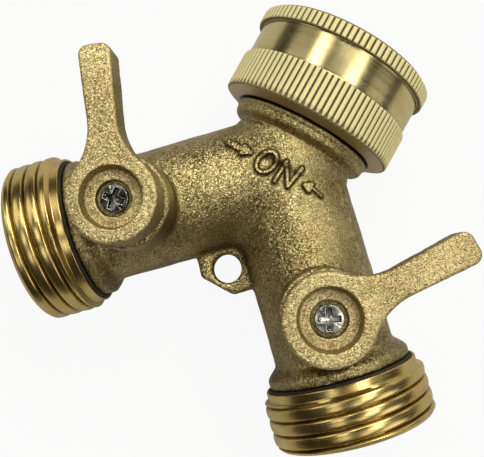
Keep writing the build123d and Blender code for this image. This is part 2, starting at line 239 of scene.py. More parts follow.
def cast_brass(name, light, dark, grain, tilt, rough, hollow, sides, letters=False):
    """Sand-cast skin. `grain` is in millimetres, `tilt` is how far grains lean from the surface.

    Upright walls get painted shade, and keep only the share `sides` of the brightness of tops.
    """
    material, tree, main = new_material(name, Metallic=1.0)
    where = own_coordinates(tree)
    cells = node(tree, "TexVoronoi", {"Vector": where, "Scale": 1 / (grain * mm)}).outputs["Color"]
    fine = noise(tree, where, grain * 1.3, 2.0, 0.6)
    medium = noise(tree, where, grain * 4, 3.0, 0.6)
    broad = noise(tree, where, 7.0, 2.0, 0.5)

    # single grains give most of the tone, clouds of two sizes the rest
    lone = node(tree, "SeparateColor", {"Color": cells}).outputs["Red"]
    tone = spread(tree, lone, 0.15, 0.85, 0.0, 0.6)
    tone = math_of(tree, "ADD", tone, spread(tree, medium, 0.35, 0.65, 0.0, 0.12))
    tone = math_of(tree, "ADD", tone, spread(tree, broad, 0.35, 0.65, 0.0, 0.28))
    colour = blend_colour(tree, tone, dark, light)

    # edges are rubbed lighter; upright walls and hollows get painted shade
    worn = node(tree, "NewGeometry").outputs["Pointiness"]
    colour = blend_colour(tree, spread(tree, worn, 0.52, 0.6, 0.0, 0.45), colour, RUBBED_EDGE)
    upward = node(tree, "SeparateXYZ", {0: node(tree, "TexCoord").outputs["Normal"]}).outputs["Z"]
    upright_wall_shade = spread(tree, math_of(tree, "ABSOLUTE", upward), 0.2, 0.75, sides, 1.0)
    colour = blend_colour(tree, upright_wall_shade, BLACK, colour)
    colour = shaded(tree, colour, reach=3.4, low=0.35, high=0.97, hollow=hollow)
    if letters:
        # painted shade along the flanks of the raised marks
        flank = node(tree, "Attribute", attribute_name="flank").outputs["Fac"]
        colour = blend_colour(tree, flank, colour, LETTER_FLANK_SHADE)

    relief = bump(tree, fine, grain * 0.5, bump(tree, medium, grain * 0.22))
    normal = grain_normal(tree, cells, relief, tilt)
    dress(tree, main, colour, spread(tree, fine, 0.3, 0.7, *rough), normal)
    return material


body_cast = dict(light=(0.90, 0.735, 0.33), dark=(0.14, 0.10, 0.034), grain=0.175, tilt=0.58,
                 rough=(0.30, 0.42), hollow=0.68, sides=0.78)
body_skin = cast_brass("fine_cast_brass", **body_cast)
letter_skin = cast_brass("cast_letters", letters=True, **{**body_cast, "hollow": 0.45})
lever_skin = cast_brass("coarse_cast_brass", light=(1.0, 0.84, 0.42), dark=(0.36, 0.26, 0.10),
                        grain=0.16, tilt=0.66, rough=(0.46, 0.6), hollow=0.38, sides=0.6)
print("cast materials:", body_skin.name, letter_skin.name, lever_skin.name)

# %% [markdown]
# ## Turned brass
#
# The nut and the nipples come off a lathe, so every tool mark is a ring round their own axis. Noise
# that is stretched very long round the axis and kept very short along it gives such rings without a
# seam. The highlight on a turned surface is drawn out across the rings, which the shader's
# anisotropy does once it is told which way is round.

# %% Turned brass
STAIN = (0.30, 0.20, 0.07)


def lathe_noise(tree, where, across, along, detail):
    """Noise drawn out round the axis. `across` and `along` the axis are blobs per metre."""
    stretched = vector_of(tree, "MULTIPLY", {0: where, 1: (across, across, along)})
    return node(tree, "TexNoise", {"Vector": stretched, "Scale": 1.0,
                                   "Detail": detail}).outputs["Fac"]


def turned_brass(name, light, dark, rough, ring_depth, stain, anisotropy, hollow, pressed=None):
    """Lathe finish round the piece's own axis, which its "lathe" coordinates carry.

    `pressed`, if given, is a function that repaints what was pressed and not turned.
    """
    material, tree, main = new_material(name, Metallic=1.0, Anisotropic=anisotropy,
                                        Anisotropic_Rotation=0.25)
    where = node(tree, "Attribute", attribute_name="lathe").outputs["Vector"]
    rings = lathe_noise(tree, where, 70.0, 6500.0, 2.0)
    bands = lathe_noise(tree, where, 60.0, 1600.0, 3.0)
    clouds = noise(tree, where, 3.5, 4.0, 0.6)
    specks = noise(tree, where, 0.25, 2.0, 0.6)
    tone = math_of(tree, "ADD", spread(tree, clouds, 0.35, 0.65, 0.0, 0.7),
                   spread(tree, bands, 0.35, 0.65, 0.0, 0.3))
    colour = blend_colour(tree, tone, dark, light)
    colour = blend_colour(tree, spread(tree, specks, 0.6, 0.75, 0.0, stain), colour, STAIN)
    roughness = spread(tree, rings, 0.3, 0.7, *rough)
    if pressed:
        colour, roughness = pressed(tree, main, where, colour, roughness)
    normal = bump(tree, clouds, ring_depth * 3, bump(tree, rings, ring_depth))
    # painted shade in hollows, such as notches and thread valleys
    colour = shaded(tree, colour, reach=0.6, low=0.3, high=0.9, hollow=hollow)
    dress(tree, main, colour, roughness, normal)
    tangent = node(tree, "Tangent", direction_type="UV_MAP", uv_map="round").outputs[0]
    tree.links.new(tangent, main.inputs["Tangent"])
    return material


thread_finish = turned_brass("threaded_brass", light=(0.88, 0.67, 0.25), dark=(0.62, 0.45, 0.16),
                             hollow=0.5, rough=(0.20, 0.32), ring_depth=0.003, stain=0.4,
                             anisotropy=0.3)
print("turned material:", thread_finish.name)

# %% [markdown]
# ## Turned pieces as a grid
#
# A turned piece is a closed outline of (radius, height) points swept round an axis. Making it as a
# plain grid of rows and columns lets a formula move each point, so a screw thread or a knurl is one
# function of height and angle. Corners get a small worn rounding, and a run that carries a thread
# is divided finely by a third number, the step.

# %% Outline helper


def worn_outline(corners, rounding=0.1):
    """Closed outline with rounded corners, support rows beside them and long runs divided."""
    undivided, long_run, support = 9.0, 0.8, 0.08
    share_of_run = 0.35                       # the most that one rounding takes of a run beside it
    points = np.array([corner[:2] for corner in corners], float)
    steps = [corner[2] if len(corner) > 2 else undivided for corner in corners]
    runs = np.roll(points, -1, axis=0) - points
    lengths = np.hypot(*runs.T)
    cuts = np.minimum(rounding, share_of_run * np.minimum(lengths, np.roll(lengths, 1)))
    rows = []
    for k, here in enumerate(points):
        behind, ahead = runs[k - 1] / lengths[k - 1], runs[k] / lengths[k]
        for u in (0.0, 0.5, 1.0):
            rows.append((1 - u) ** 2 * (here - behind * cuts[k]) + 2 * u * (1 - u) * here
                        + u ** 2 * (here + ahead * cuts[k]))
        straight = lengths[k] - cuts[k] - cuts[(k + 1) % len(points)]
        parts = max(1, math.ceil(straight / steps[k]))
        marks = [straight * i / parts for i in range(1, parts)]
        if straight > long_run and parts == 1:
            marks = [support, straight - support]
        rows += [here + ahead * (cuts[k] + mark) for mark in marks]
    return np.array(rows)


print("rows of a plain square outline:", len(worn_outline([(0, 0), (1, 0), (1, 1), (0, 1)])))

# %% [markdown]
# ## From the outline to a mesh
#
# Every row of the grid is one ring of points and every column one direction round the axis. The
# mesh carries two things for its finish: the point's own coordinates, which the lathe rings are
# drawn with, and a UV map that runs once round the piece, which tells the shader where round is.

# %% Grid helpers


def turned_piece(name, rows, angles, radius_at, place, finish):
    """Closed mesh from outline rows and column angles.

    radius_at(radius, height, angle) gives every point its own radius.
    """
    height = np.repeat(rows[:, 1:2], len(angles), axis=1)
    radius = radius_at(rows[:, 0:1] + 0 * height, height, angles[None, :] + 0 * height)
    own = np.stack([radius * np.cos(angles), radius * np.sin(angles), height], -1)
    own = own.reshape(-1, 3) * mm
    placed = own @ np.array(place.to_3x3()).T + np.array(place.translation)
    n, m = height.shape
    index = np.arange(n * m).reshape(n, m)
    down, across = np.roll(index, -1, axis=0), np.roll(index, -1, axis=1)
    quads = np.stack([index, across, np.roll(down, -1, axis=1), down], -1).reshape(-1, 4)
    mesh = bpy.data.meshes.new(name)
    mesh.from_pydata(placed.tolist(), [], quads.tolist())
    mesh.polygons.foreach_set("use_smooth", np.ones(len(quads), bool))
    mesh.attributes.new("lathe", "FLOAT_VECTOR", "POINT").data.foreach_set("vector", own.ravel())
    # the last column of faces ends at a full turn, not back at zero
    column = quads % m
    column[(column.max(1) - column.min(1) > m / 2)[:, None] & (column == 0)] = m
    turn_and_row = np.stack([column / m, quads // m / n], -1).astype(np.float32)
    mesh.uv_layers.new(name="round").data.foreach_set("uv", turn_and_row.ravel())
    mesh.materials.append(finish)
    piece = bpy.data.objects.new(name, mesh)
    bpy.context.collection.objects.link(piece)
    print(name, len(mesh.polygons), "faces")
    return piece


def helix_distance(height, angle, first):
    """Distance along the axis to the middle of the nearest turn of a right-handed thread."""
    along = (height - first - pitch * angle / (2 * math.pi)) / pitch
    return np.abs(along - np.round(along)) * pitch


turns_per_inch = 11.5
pitch = 25.4 / turns_per_inch
print("thread pitch", round(pitch, 3), "mm")

# %% [markdown]
# ## The swivel nut's sizes
#
# The nut is gripped by hand, so both its ends are knurled, with a smooth waist between them. The
# knurl is pressed in and not turned, so it has no rings: its lands are matt and pale, its notches
# get painted shade, and the bevel that faces the casting is rougher and painted darker as shade. The
# finish finds these places by their radius and height, so the sizes come first and serve both the
# finish and the shape.

# %% Sizes and finish of the nut
waist_r = 14.65
inner_land_r, outer_land_r = 15.2, 15.5       # knurl next to the casting, knurl at the mouth
bevel_top = 8.2
waist_middle = 17.0                           # anywhere between the two knurls
# the notch colour and the bevel colour are painted shade
PALE_LAND, NOTCH_PAINTED_SHADE, BEVEL_PAINTED_SHADE = (1.0, 0.90, 0.45), (0.20, 0.15, 0.06), (0.62, 0.52, 0.32)


def pressed_knurl(tree, main, where, colour, roughness):
    """Repaints the knurl and the bevel, by the radius and height of each point."""
    flat = vector_of(tree, "MULTIPLY", {0: where, 1: (1.0, 1.0, 0.0)})
    radius = node(tree, "VectorMath", {0: flat}, operation="LENGTH").outputs["Value"]
    height = node(tree, "SeparateXYZ", {0: where}).outputs["Z"]
    knurled = spread(tree, radius, (waist_r + 0.03) * mm, (waist_r + 0.11) * mm)
    bevel = spread(tree, height, bevel_top * mm, (bevel_top + 0.1) * mm, 1.0, 0.0)
    crest = spread(tree, height, waist_middle * mm, (waist_middle + 1) * mm,
                   inner_land_r * mm, outer_land_r * mm)
    depth = math_of(tree, "SUBTRACT", crest, radius)
    notch = spread(tree, depth, 0.08 * mm, 0.22 * mm, 0.0, 0.85)
    # painted shade deep in the notches
    colour = blend_colour(tree, knurled, colour, blend_colour(tree, notch, PALE_LAND, NOTCH_PAINTED_SHADE))
    # the bevel is rougher, and its colour is painted shade
    colour = blend_colour(tree, bevel, colour, BEVEL_PAINTED_SHADE)
    tree.links.new(spread(tree, knurled, 0.0, 1.0, 1.0, 0.25), main.inputs["Metallic"])
    matt = math_of(tree, "MAXIMUM", math_of(tree, "MULTIPLY", knurled, 0.45),
                   math_of(tree, "MULTIPLY", bevel, 0.18))
    return colour, math_of(tree, "ADD", roughness, matt)


nut_finish = turned_brass("brushed_brass", light=(0.85, 0.74, 0.36), dark=(0.70, 0.58, 0.26),
                          hollow=0.85, rough=(0.17, 0.26), ring_depth=0.002, stain=0.3,
                          anisotropy=0.35, pressed=pressed_knurl)
print("the knurl stands", round(inner_land_r - waist_r, 2), "mm proud of the waist")

# %% [markdown]
# ## The swivel nut's shape
#
# Ninety-six V notches leave bright lands between dark lines. Towards the bevel the notches widen, so
# each land ends in a point. The columns of the grid aren't evenly spaced: most of them stand in the
# notches, where the shape changes, and few on the lands. The hose thread inside is the same kind of
# formula, a groove whose place climbs with the angle.

# %% Swivel nut
land_tip, tip_length = 9.15, 0.7              # where the notches begin to widen, and over how far
notch_half, notch_flare, notch_depth = 0.2, 0.32, 0.36
land_crown = 0.08
mouth_r, mouth_top = 12.7, junction_depth
nut_thread_at, nut_thread_depth = 16.0, 0.95
nut_thread_bottom, nut_thread_fade = 15.5, 0.4
valley_half, valley_flank = 0.93, 0.4         # half a valley's width at the bore, and one flank's
grip_from_r = 14.0                            # what is wider is the knurl or the waist
NUT_OUTLINE = [
    (10.65, 7.75), (12.1, 7.75), (12.2, 7.63), (12.5, 7.63),
    (13.9, 8.0), (14.6, bevel_top), (15.05, 8.38), (inner_land_r, 8.6),
    (inner_land_r, 8.85), (inner_land_r, land_tip), (inner_land_r, 14.4), (15.0, 14.6),
    (waist_r, 14.6), (waist_r, 20.1),
    (15.3, 20.1), (outer_land_r, 20.3), (outer_land_r, 22.2), (14.7, mouth_top), (13.2, mouth_top),
    (mouth_r, 22.3, 0.18), (mouth_r, 15.3),
    (12.9, 15.3), (12.9, 10.05), (10.65, 10.05)]
teeth = 96
land_half = math.pi * inner_land_r / teeth    # from the middle of a notch to the middle of a land
# columns of the grid in each tooth, as shares of it from the middle of a notch
in_tooth = np.array([-0.5, -0.24, -0.19, -0.09, 0.0, 0.09, 0.19, 0.24])
nut_angles = ((np.arange(teeth)[:, None] + in_tooth) * 2 * math.pi / teeth).ravel()


def nut_radius(radius, height, angle):
    """Knurl notches outside, hose thread inside."""
    share = angle * teeth / (2 * math.pi)
    across = np.abs(share - np.round(share)) * 2 * land_half
    crest = np.where(height < waist_middle, inner_land_r, outer_land_r)
    half = notch_half + notch_flare * np.clip((land_tip - height) / tip_length, 0, 1)
    notch = notch_depth * np.clip(1 - across / half, 0, 1)
    crown = land_crown * np.clip(1 - across / land_half, 0, 1)
    knurled = np.minimum(radius, crest - notch - crown)

    into_valley = valley_half - helix_distance(height, angle, nut_thread_at)
    valley = np.clip(into_valley / valley_flank, 0, 1)
    begun = np.clip((height - nut_thread_bottom) / nut_thread_fade, 0, 1)
    threaded = radius + nut_thread_depth * (valley * begun) ** 1.2
    inside = ((radius < mouth_r + 0.1) & (height > nut_thread_bottom - 0.15)
              & (height < mouth_top - 0.2))
    return np.where(inside, threaded, np.where(radius > grip_from_r, knurled, radius))


nut = turned_piece("knurled_nut", worn_outline(NUT_OUTLINE), nut_angles, nut_radius, inlet_frame,
                   nut_finish)
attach(nut, "nut")
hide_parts("swivel_nut")

# %% [markdown]
# ## The outlet nipples
#
# Each nipple carries a hose thread whose crests are broad and rounded, with narrow valleys. Inside
# its mouth is a hexagonal recess for the key that screws it home. The same grid makes both: the
# thread is a groove that climbs one pitch a turn, and the hexagon is a radius that changes with the
# angle. Each nipple stopped at its own turn when it was tight, so the two threads start at
# different places.

# %% Nipples
thread_r, thread_depth, thread_start = 13.49, 0.85, 35.95
crest_flat = 0.06                             # half the width of a crest's level part
gentle_share = 0.22                           # of the groove's depth; the rest is a narrow valley
thread_from_r, key_up_to_r = 12.0, 7.2        # rows between these keep their outline
bore_r, rim = 9.54, 44.0
hex_r, hex_floor = 6.2, 32.1                  # hex_r is half the distance across the flats
NIPPLE_OUTLINE = [
    (5.6, 30.85), (8.8, 30.85), (8.8, 34.5), (10.4, 34.5), (10.4, 34.95),
    (12.17, 34.95), (12.22, 34.78), (12.5, 34.78), (12.6, 34.9), (12.6, 36.1),
    (thread_r, 36.6, 0.08), (thread_r, 43.3, 0.1), (12.89, rim),
    (9.94, rim), (bore_r, 43.6, 0.8), (bore_r, 35.6, 0.2),
    (5.6, 34.2, 0.4), (5.6, 32.2), (5.6, 32.0)]
STOPPED_AT = {"left": 65, "right": -65}       # degrees
nipple_angles = np.linspace(0, 2 * math.pi, 300, endpoint=False)


def nipple_radius(radius, height, angle):
    """Hose thread outside, hexagonal recess inside."""
    away = helix_distance(height, angle, thread_start)
    from_crest = 1 - np.clip((away - crest_flat) / (pitch / 2 - crest_flat), 0, 1)
    groove = gentle_share * from_crest ** 2 + (1 - gentle_share) * from_crest ** 10
    threaded = np.minimum(radius, thread_r - thread_depth * groove)
    corner = (angle + math.radians(30)) % math.radians(60) - math.radians(30)
    keyed = np.maximum(radius, hex_r / np.cos(corner))
    result = np.where((radius > thread_from_r) & (height > thread_start), threaded, radius)
    return np.where((height > hex_floor) & (radius < key_up_to_r), keyed, result)


for side in SIDES:
    place = arm_frame[side] @ Matrix.Rotation(math.radians(STOPPED_AT[side]), 4, "Z")
    nipple = turned_piece(f"{side}_threaded_nipple", worn_outline(NIPPLE_OUTLINE), nipple_angles,
                          nipple_radius, place, thread_finish)
    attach(nipple, "body")
    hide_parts(f"{side}_outlet_nipple")

# %% [markdown]
# ## Castings from the CAD shapes
#
# A casting has no sharp edge and no flat face. Copying the CAD mesh, rebuilding it as an even net
# of small squares and smoothing that net a little rounds every edge as a mould does. Adding up many
# weak waves in random directions then gives slow lumps that never repeat, and the random draws come
# from a fixed seed so that each run gives the same casting.

# %% Cast copies
first_seed = 11


def points_of(mesh):
    """The mesh's points, one row each, in metres."""
    points = np.empty(len(mesh.vertices) * 3)
    mesh.vertices.foreach_get("co", points)
    return points.reshape(-1, 3)


def move_points(mesh, points):
    """Puts the mesh's points at new places."""
    mesh.vertices.foreach_set("co", points.ravel())
    mesh.update()


def waves(points, size, seed, count=48):
    """Smooth random field with bumps about `size` millimetres across, spread about -1 to 1."""
    draw = np.random.default_rng(seed)
    directions = draw.normal(size=(count, 3))
    directions /= np.linalg.norm(directions, axis=1)[:, None]
    wanted = directions * (2 * math.pi / (2 * size * mm)) * draw.uniform(0.6, 1.4, (count, 1))
    phases = draw.uniform(0, 2 * math.pi, count)
    return np.cos(points @ wanted.T + phases).sum(1) * math.sqrt(2 / count) / 2


def casting(name, source, voxel, lumps, finish):
    """Rounded, slightly lumpy copy of a CAD node. `lumps` lists (size, height) in millimetres."""
    piece = bpy.data.objects.new(name, frame["nodes"][source].data.copy())
    bpy.context.collection.objects.link(piece)
    net = piece.modifiers.new("even net", "REMESH")
    net.mode = "VOXEL"
    net.voxel_size = voxel * mm
    soft = piece.modifiers.new("tumbled", "SMOOTH")
    soft.iterations = 2
    evaluated = piece.evaluated_get(bpy.context.evaluated_depsgraph_get())
    mesh = bpy.data.meshes.new_from_object(evaluated)
    piece.modifiers.clear()
    piece.data = mesh
    points = points_of(mesh)
    normals = np.empty(points.size)
    mesh.vertex_normals.foreach_get("vector", normals)
    moved = sum(height * mm * waves(points, size, seed)
                for seed, (size, height) in enumerate(lumps, start=first_seed))
    mesh.polygons.foreach_set("use_smooth", np.ones(len(mesh.polygons), bool))
    mesh.materials.clear()
    mesh.materials.append(finish)
    move_points(mesh, points + normals.reshape(-1, 3) * moved[:, None])
    most = round(np.abs(moved).max() / mm, 3)
    print(name, len(mesh.polygons), "faces, moved at most", most, "mm")
    return piece


casting_body = casting("cast_body", "splitter_body", 0.38, [(5.0, 0.05), (1.4, 0.03)], body_skin)
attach(casting_body, "body")
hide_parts("splitter_body")

# %% [markdown]
# ## The neck's bead
#
# Where the neck flares out under the nut, the real casting has a soft rounded bead with a crease
# below it. The CAD shape has a plain flare there. A bead laid on top would show a seam, so points of
# the skin itself are pushed straight out to a quarter ellipse, and those of the crease are drawn in.

# %% Bead on the neck
bead_r, bead_depth = 11.95, 1.0
bead_middle, bead_length, bead_start = 6.2, 1.15, 5.0
crease_depth, crease_at, crease_half = 0.28, 4.5, 0.4
neck_start, neck_end = 3.6, 7.2
skin_inner_r, skin_outer_r = 9.5, 13.2        # leaves the bore and the collar alone


def round_the_neck(piece):
    """Fills the neck's flare to a rounded bead with a crease under it."""
    points = points_of(piece.data)
    height = points[:, 1] / mm - junction.y / mm
    radius = np.hypot(points[:, 0], points[:, 2]) / mm
    below = np.clip((bead_middle - height) / bead_length, 0, 1)
    bead = bead_r - bead_depth * (1 - np.sqrt(1 - below ** 2))
    crease = crease_depth * np.exp(-((height - crease_at) / crease_half) ** 2)
    on_neck = ((radius > skin_inner_r) & (radius < skin_outer_r)
               & (height > neck_start) & (height < neck_end))
    wanted = np.where(height > bead_start, np.maximum(radius, bead), radius - crease)
    scale = np.where(on_neck, wanted / np.maximum(radius, 1), 1)
    points[:, 0] *= scale
    points[:, 2] *= scale
    move_points(piece.data, points)
    print("neck bead filled by at most", round(float((scale * radius - radius).max()), 2), "mm")


round_the_neck(casting_body)

# %% [markdown]
# ## The levers
#
# The levers are small rough castings. Their net is finer than the body's, so that the larger dents
# are real and not only shading. Each lever has a lug below its hub, which runs in a slot of the body
# and stops the turn at both ends. The two lumpy castings would rub there, so the lug, which nobody
# sees, is drawn together towards its middle.

# %% Levers
lug_depth = 1.05                              # from the hub's underside to the lug's lowest point
kept_width, kept_angle = 0.5, 0.7             # shares of the lug's size that are left
lug_fade = 0.25                               # height over which the drawing together sets in


def slim_stop_lug(piece, axis_at, underside):
    """Draws the stop lug together, in its width and in the angle that it takes."""
    points = points_of(piece.data)
    below = np.clip((underside - points[:, 2]) / (lug_fade * mm), 0, 1)
    flat = points[:, 0] - axis_at.x + 1j * (points[:, 1] - axis_at.y)
    middle = flat[below == 1].mean()
    turned, radius = np.angle(flat / middle), np.abs(flat)
    radius += (abs(middle) - radius) * (1 - kept_width) * below
    turned *= 1 - (1 - kept_angle) * below
    drawn = radius * np.exp(1j * turned) * middle / abs(middle)
    points[:, 0], points[:, 1] = drawn.real + axis_at.x, drawn.imag + axis_at.y
    move_points(piece.data, points)
    print(piece.name, "has", int((below > 0).sum()), "points in its stop lug")


for side in SIDES:
    lever = casting(f"{side}_cast_lever", f"{side}_lever", 0.15, [(2.5, 0.03), (0.5, 0.018)],
                    lever_skin)
    slim_stop_lug(lever, valve_at[side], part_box(f"{side}_lever")[0].z + lug_depth * mm)
    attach(lever, f"{side}_valve")
    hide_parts(f"{side}_lever")

# %% [markdown]
# ## Plated screws
#
# Each lever is held by a small plated pan-head screw. The left one is painted nearly black, as shade
# for the dark that its dome reflects, and the right one is bright. The cross gets painted shade, and
# the plating's edges get painted glints, which the mesh's own pointiness finds.

# %% Plating
# painted shade for the cross, and painted glints for the edges
CROSS_PAINTED_SHADE, EDGE_PAINTED_GLINT = (0.03, 0.03, 0.025), (0.95, 0.94, 0.89)


def nickel_plate(name, dull, bright):
    """Plated steel with painted shade in its cross, painted glints on its edges and scratches all
    over.
    """
    material, tree, main = new_material(name, Metallic=1.0)
    where = own_coordinates(tree)
    scratches = noise(tree, where, 0.3, 4.0, 0.65)
    clouds = noise(tree, where, 0.8, 3.0, 0.6)
    recess = node(tree, "AmbientOcclusion", {"Distance": 0.7 * mm}, samples=6).outputs["AO"]
    plate = blend_colour(tree, spread(tree, clouds, 0.4, 0.65), dull, bright)
    # painted shade in the cross
    plate = blend_colour(tree, spread(tree, recess, 0.45, 0.85, 1.0, 0.0), plate, CROSS_PAINTED_SHADE)
    edges = node(tree, "NewGeometry").outputs["Pointiness"]
    # painted glints on the plating's edges
    plate = blend_colour(tree, spread(tree, edges, 0.51, 0.55), plate, EDGE_PAINTED_GLINT)
    dress(tree, main, plate, spread(tree, scratches, 0.3, 0.7, 0.14, 0.34),
          bump(tree, scratches, 0.006))
    return material


# the left screw's near-black plating is painted shade
SCREW_FINISH = {"left": nickel_plate("nickel_painted_dark", (0.05, 0.048, 0.04), (0.13, 0.125, 0.105)),
                "right": nickel_plate("nickel_plate", (0.24, 0.235, 0.20), (0.50, 0.49, 0.44))}
print("screw finishes:", [finish.name for finish in SCREW_FINISH.values()])

# %% [markdown]
# ## The cross-head screws
#
# A screw's head is a shallow dome, so a round grid whose height follows a dome formula will do, less
# a cross that sinks in with soft shoulders. The rest of the screw is a plain shank that nobody sees,
# drawn as a few more rings of the same grid.

# %% Screws
head_r, head_height, pocket_floor = 2.07, 1.15, 20.1
dome_curve = 0.05                             # fall of the dome, times the square of the radius
rounding_r, rounding_drop = 1.93, 0.93        # where the dome turns down to its rim, and how far
cross_half, cross_reach, well_reach = 0.52, 1.62, 1.05
slot_taper, slot_wall, slot_end = 0.1 / 1.7, 0.16, 0.2
cross_depth, floor_rise = 0.85, 0.28          # the cross is deepest in the middle
centre_r = 0.03                               # the grid's smallest ring, closed by one flat face
SHANK = [(head_r, pocket_floor), (1.2, pocket_floor), (1.2, 15.6), (0.8, 15.2), (centre_r, 15.2)]
SCREW_TURN = {"left": 10, "right": 31}        # degrees, as the screwdriver left each cross
screw_radii = np.concatenate([np.linspace(centre_r, 1.75, 50), np.linspace(1.78, head_r, 12)])
screw_angles = np.linspace(0, 2 * math.pi, 160, endpoint=False)


def screw_height(x, y):
    """Top of the head over its seat, millimetres: a dome with a cross sunk into it."""
    r = np.hypot(x, y)
    turned_down = np.clip((r - rounding_r) / (head_r - rounding_r), 0, 1) ** 2.5
    dome = head_height - dome_curve * r ** 2 - rounding_drop * turned_down
    near, far = np.minimum(np.abs(x), np.abs(y)), np.maximum(np.abs(x), np.abs(y))
    half = cross_half - slot_taper * far
    slots = np.clip((half - near) / slot_wall, 0, 1) * np.clip((cross_reach - far) / slot_end, 0, 1)
    well = np.clip((well_reach - near - far) / slot_end, 0, 1)
    return dome - np.maximum(slots, well) * (cross_depth - floor_rise * r)


def ring_of(radius, height):
    """One ring of the screw's grid."""
    return np.stack([radius * np.cos(screw_angles), radius * np.sin(screw_angles),
                     height + 0 * screw_angles], -1)


def cross_screw(name, finish):
    """A whole screw round the Z axis, from the middle of its head to the end of its shank."""
    x = screw_radii[:, None] * np.cos(screw_angles)
    y = screw_radii[:, None] * np.sin(screw_angles)
    head = np.stack([x, y, pocket_floor + screw_height(x, y)], -1)
    grid = np.concatenate([head, np.array([ring_of(r, z) for r, z in SHANK])]) * mm
    n, m = grid.shape[:2]
    index = np.arange(n * m).reshape(n, m)
    across = np.roll(index, -1, axis=1)
    quads = np.stack([index[:-1], index[1:], across[1:], across[:-1]], -1).reshape(-1, 4).tolist()
    mesh = bpy.data.meshes.new(name)
    mesh.from_pydata(grid.reshape(-1, 3).tolist(), [],
                     quads + [index[0].tolist(), index[-1][::-1].tolist()])
    mesh.polygons.foreach_set("use_smooth", np.ones(len(mesh.polygons), bool))
    mesh.materials.append(finish)
    screw = bpy.data.objects.new(name, mesh)
    bpy.context.collection.objects.link(screw)
    return screw


for side in SIDES:
    screw = cross_screw(f"{side}_cross_screw", SCREW_FINISH[side])
    turn = Matrix.Rotation(math.radians(SCREW_TURN[side]), 4, "Z")
    screw.matrix_world = Matrix.Translation(valve_at[side]) @ turn
    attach(screw, f"{side}_valve")
    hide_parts(f"{side}_lever_screw")
print("screws stand", head_height, "mm proud of their pockets")

# %% [markdown]
# ## The raised ON and its arrows
#
# The word and the two arrows are cast with the body, so they stand a few tenths of a millimetre
# proud and follow its curve. They are drawn flat, as strokes seen from above, in millimetres from
# the junction. The distance from each point of a fine grid to the nearest stroke says how high it
# stands, so that strokes run into each other softly, as in a casting.

# %% Strokes of the marks
mark_height, grid_step = 0.4, 0.07
patch_x, patch_y = (-9.8, 10.0), (-3.8, 1.6)
margin = 0.44                                 # how far the patch reaches beside a stroke
slope_start, slope_width = 0.14, 0.34         # a stroke's slope starts a little outside it
ground_height, rim_sunk, rim_slope = 0.03, 0.08, 0.08
# the dark line beside each stroke is painted shade
shade_line_at, shade_line_half = 0.12, 0.3              # the dark line runs just outside a stroke
o_middle, o_half_width, o_half_height, o_slant = (-1.95, -0.95), 1.34, 1.8, 0.3
letter_o = [(o_middle[0] + o_half_width * math.cos(a) + o_slant * math.sin(a),
             o_middle[1] + o_half_height * math.sin(a)) for a in np.linspace(0, 2 * math.pi, 40)]
letter_n = [(0.52, -2.94), (0.75, 0.51), (2.75, -2.75), (3.3, 0.75)]
left_shaft = [(-8.9, -0.9), (-6.2, -1.0)]
left_head = [(-6.1, -1.5), (-6.15, -0.4), (-5.0, -0.85), (-6.1, -1.5)]
right_head = [(5.0, -1.3), (5.75, -0.75), (5.8, -1.7), (5.0, -1.3)]
right_shaft = [(6.2, -1.1), (7.9, -1.5)]
HALF_WIDTHS = [(letter_o, 0.34), (letter_n, 0.34), (left_shaft, 0.55), (left_head, 0.46),
               (right_head, 0.46), (right_shaft, 0.26)]


def stroke_distance(x, y, path):
    """Distance from flat points to a line through the path's points."""
    best = np.full(x.shape, np.inf)
    for (ax, ay), (bx, by) in zip(path[:-1], path[1:]):
        length = (bx - ax) ** 2 + (by - ay) ** 2
        u = np.clip(((x - ax) * (bx - ax) + (y - ay) * (by - ay)) / length, 0, 1)
        best = np.minimum(best, np.hypot(x - ax - u * (bx - ax), y - ay - u * (by - ay)))
    return best


xs, ys = np.arange(*patch_x, grid_step), np.arange(*patch_y, grid_step)
gx, gy = np.meshgrid(xs, ys, indexing="ij")
inwards = np.max([half - stroke_distance(gx, gy, path) for path, half in HALF_WIDTHS], axis=0)
ramp = np.clip((inwards + slope_start) / slope_width, 0, 1)
rise = ramp ** 2 * (3 - 2 * ramp)
# the patch's rim lies below the skin, the ground between the strokes just above it
ground = (ground_height + rim_sunk) * np.clip((inwards + margin) / rim_slope, 0, 1) - rim_sunk
flank = np.clip(1 - np.abs(inwards + shade_line_at) / shade_line_half, 0, 1) ** 0.6
kept = inwards > -margin
print("the marks cover", round(100 * float(kept.mean())), "% of their grid")

# %% [markdown]
# ## Laying the marks on the casting
#
# Each kept point of the grid drops straight down on the casting, and is then lifted along the
# surface there. A second layer half a millimetre inside the casting and a wall round the edge close
# the patch, so that it is a solid piece whose rim sinks into the skin. The dark line of painted
# shade beside a stroke is kept as a number on each point, for the finish to read.

# %% Raised marks
casting_tree = BVHTree.FromPolygons([v.co.copy() for v in casting_body.data.vertices],
                                    [tuple(p.vertices) for p in casting_body.data.polygons])
